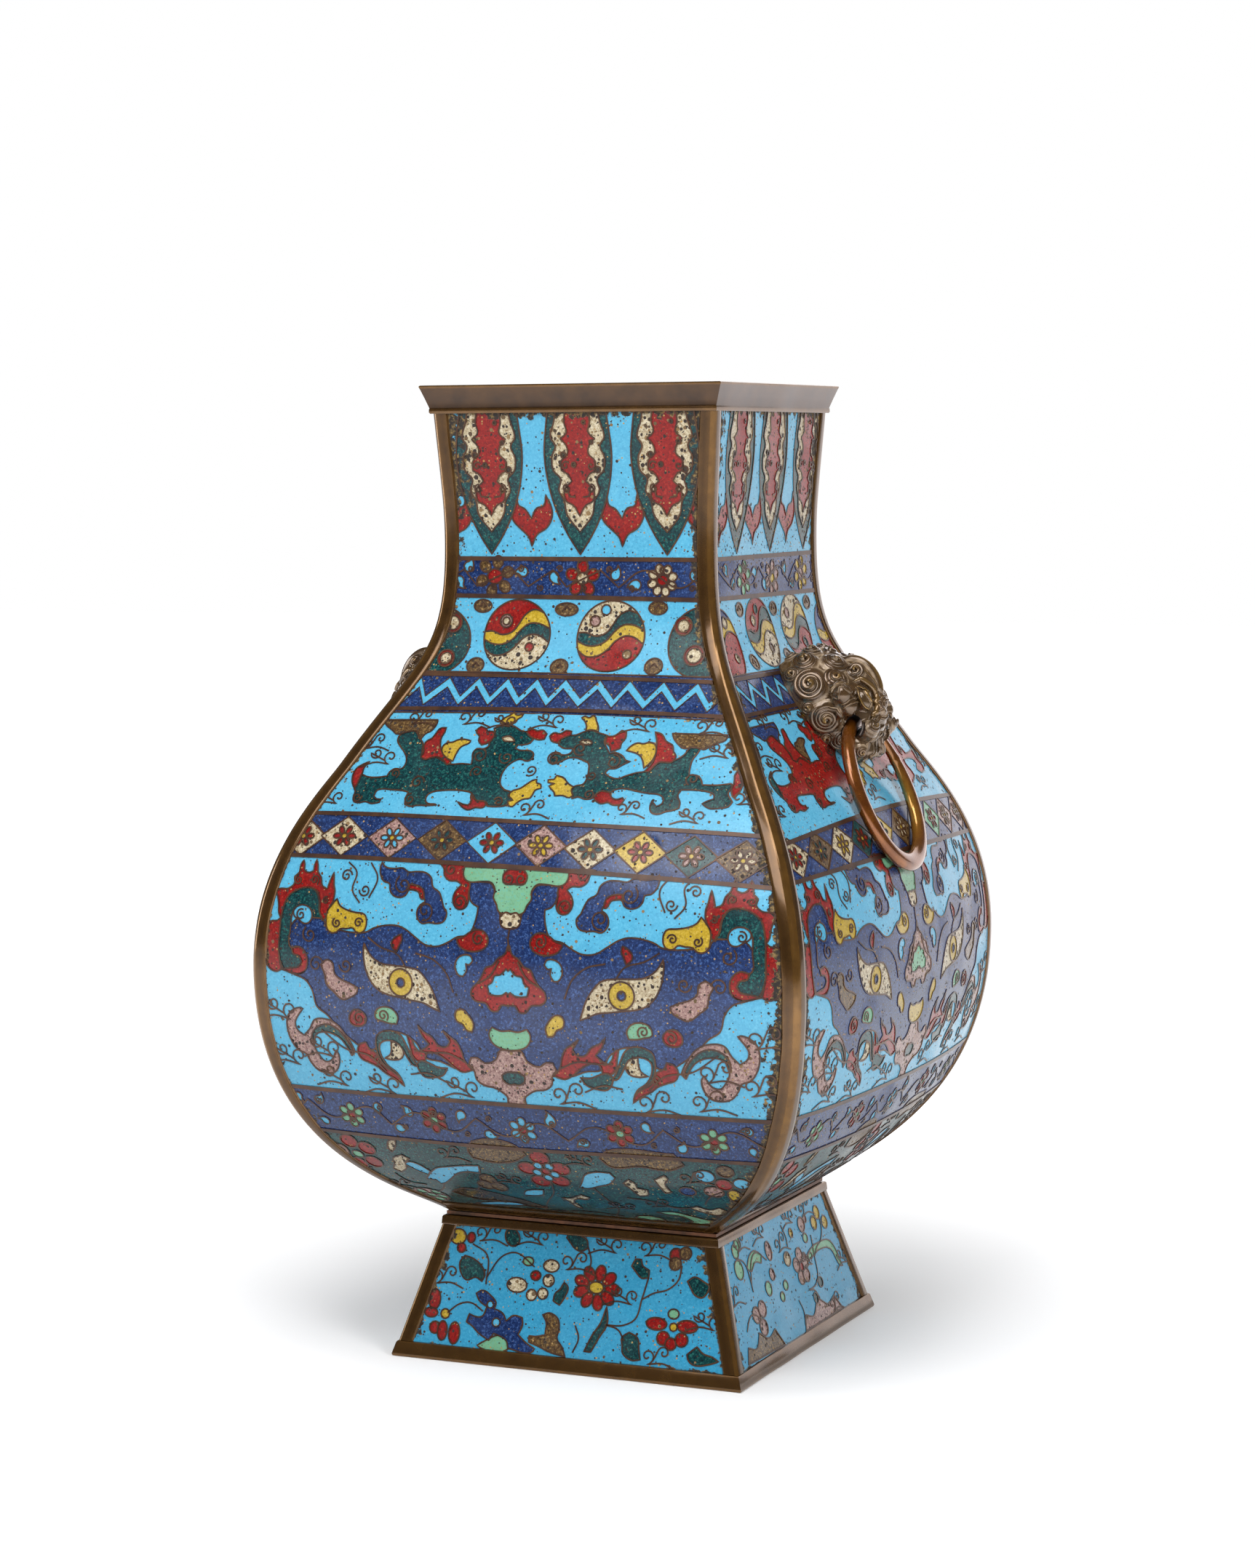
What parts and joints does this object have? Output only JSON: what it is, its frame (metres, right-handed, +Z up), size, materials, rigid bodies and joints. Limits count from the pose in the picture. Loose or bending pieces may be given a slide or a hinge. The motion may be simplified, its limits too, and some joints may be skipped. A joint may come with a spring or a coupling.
{
  "type": "cloisonne vase",
  "caption": "Square-section bulbous cloisonné vase with flared rim, splayed hollow foot, bronze corner ribs and two lion-mask handles with loose swinging rings.",
  "frame": {"origin": "centre of the foot's underside", "axes": "+Z up; the front face looks along -Y; the ring handles are on the +X and -X faces"},
  "size_m": [0.2502, 0.2502, 0.4],
  "materials": {
    "body_enamel": "glossy turquoise and cobalt enamel between fine brass wires on copper",
    "foot_enamel": "glossy turquoise enamel between fine brass wires on copper",
    "bronze": "dark aged bronze, polished by handling along the edges",
    "copper": "dull bare copper sheet",
    "mask_bronze": "cast bronze with brown patina, worn golden on the highest curls",
    "ring_copper": "polished reddish copper, worn golden on one leg"
  },
  "bodies": {
    "vase": {"body_panel_front": "body_enamel", "body_panel_right": "body_enamel", "body_panel_back": "body_enamel", "body_panel_left": "body_enamel", "body_base_strip_front": "bronze", "body_base_strip_right": "bronze", "body_base_strip_back": "bronze", "body_base_strip_left": "bronze", "rim_front": "bronze", "rim_right": "bronze", "rim_back": "bronze", "rim_left": "bronze", "foot_top_strip_front": "bronze", "foot_top_strip_right": "bronze", "foot_top_strip_back": "bronze", "foot_top_strip_left": "bronze", "foot_panel_front": "foot_enamel", "foot_panel_right": "foot_enamel", "foot_panel_back": "foot_enamel", "foot_panel_left": "foot_enamel", "foot_base_strip_front": "bronze", "foot_base_strip_right": "bronze", "foot_base_strip_back": "bronze", "foot_base_strip_left": "bronze", "corner_rib_front_right": "bronze", "corner_rib_back_right": "bronze", "corner_rib_back_left": "bronze", "corner_rib_front_left": "bronze", "foot_corner_front_right": "bronze", "foot_corner_back_right": "bronze", "foot_corner_back_left": "bronze", "foot_corner_front_left": "bronze", "body_floor": "copper", "mask_right": "mask_bronze", "mask_left": "mask_bronze", "mask_rivet_right": "copper", "mask_rivet_left": "copper"},
    "ring_right": {"ring_right": "ring_copper"},
    "ring_left": {"ring_left": "ring_copper"}
  },
  "joints": [
    {"name": "ring_right_swing", "type": "hinge", "parent": "vase", "child": "ring_right", "pos_m": [0.09864, 0, 0.26223], "axis": [0, -1, 0], "range_deg": [0, 75]},
    {"name": "ring_left_swing", "type": "hinge", "parent": "vase", "child": "ring_left", "pos_m": [-0.09864, 0, 0.26223], "axis": [0, 1, 0], "range_deg": [0, 75]}
  ]
}
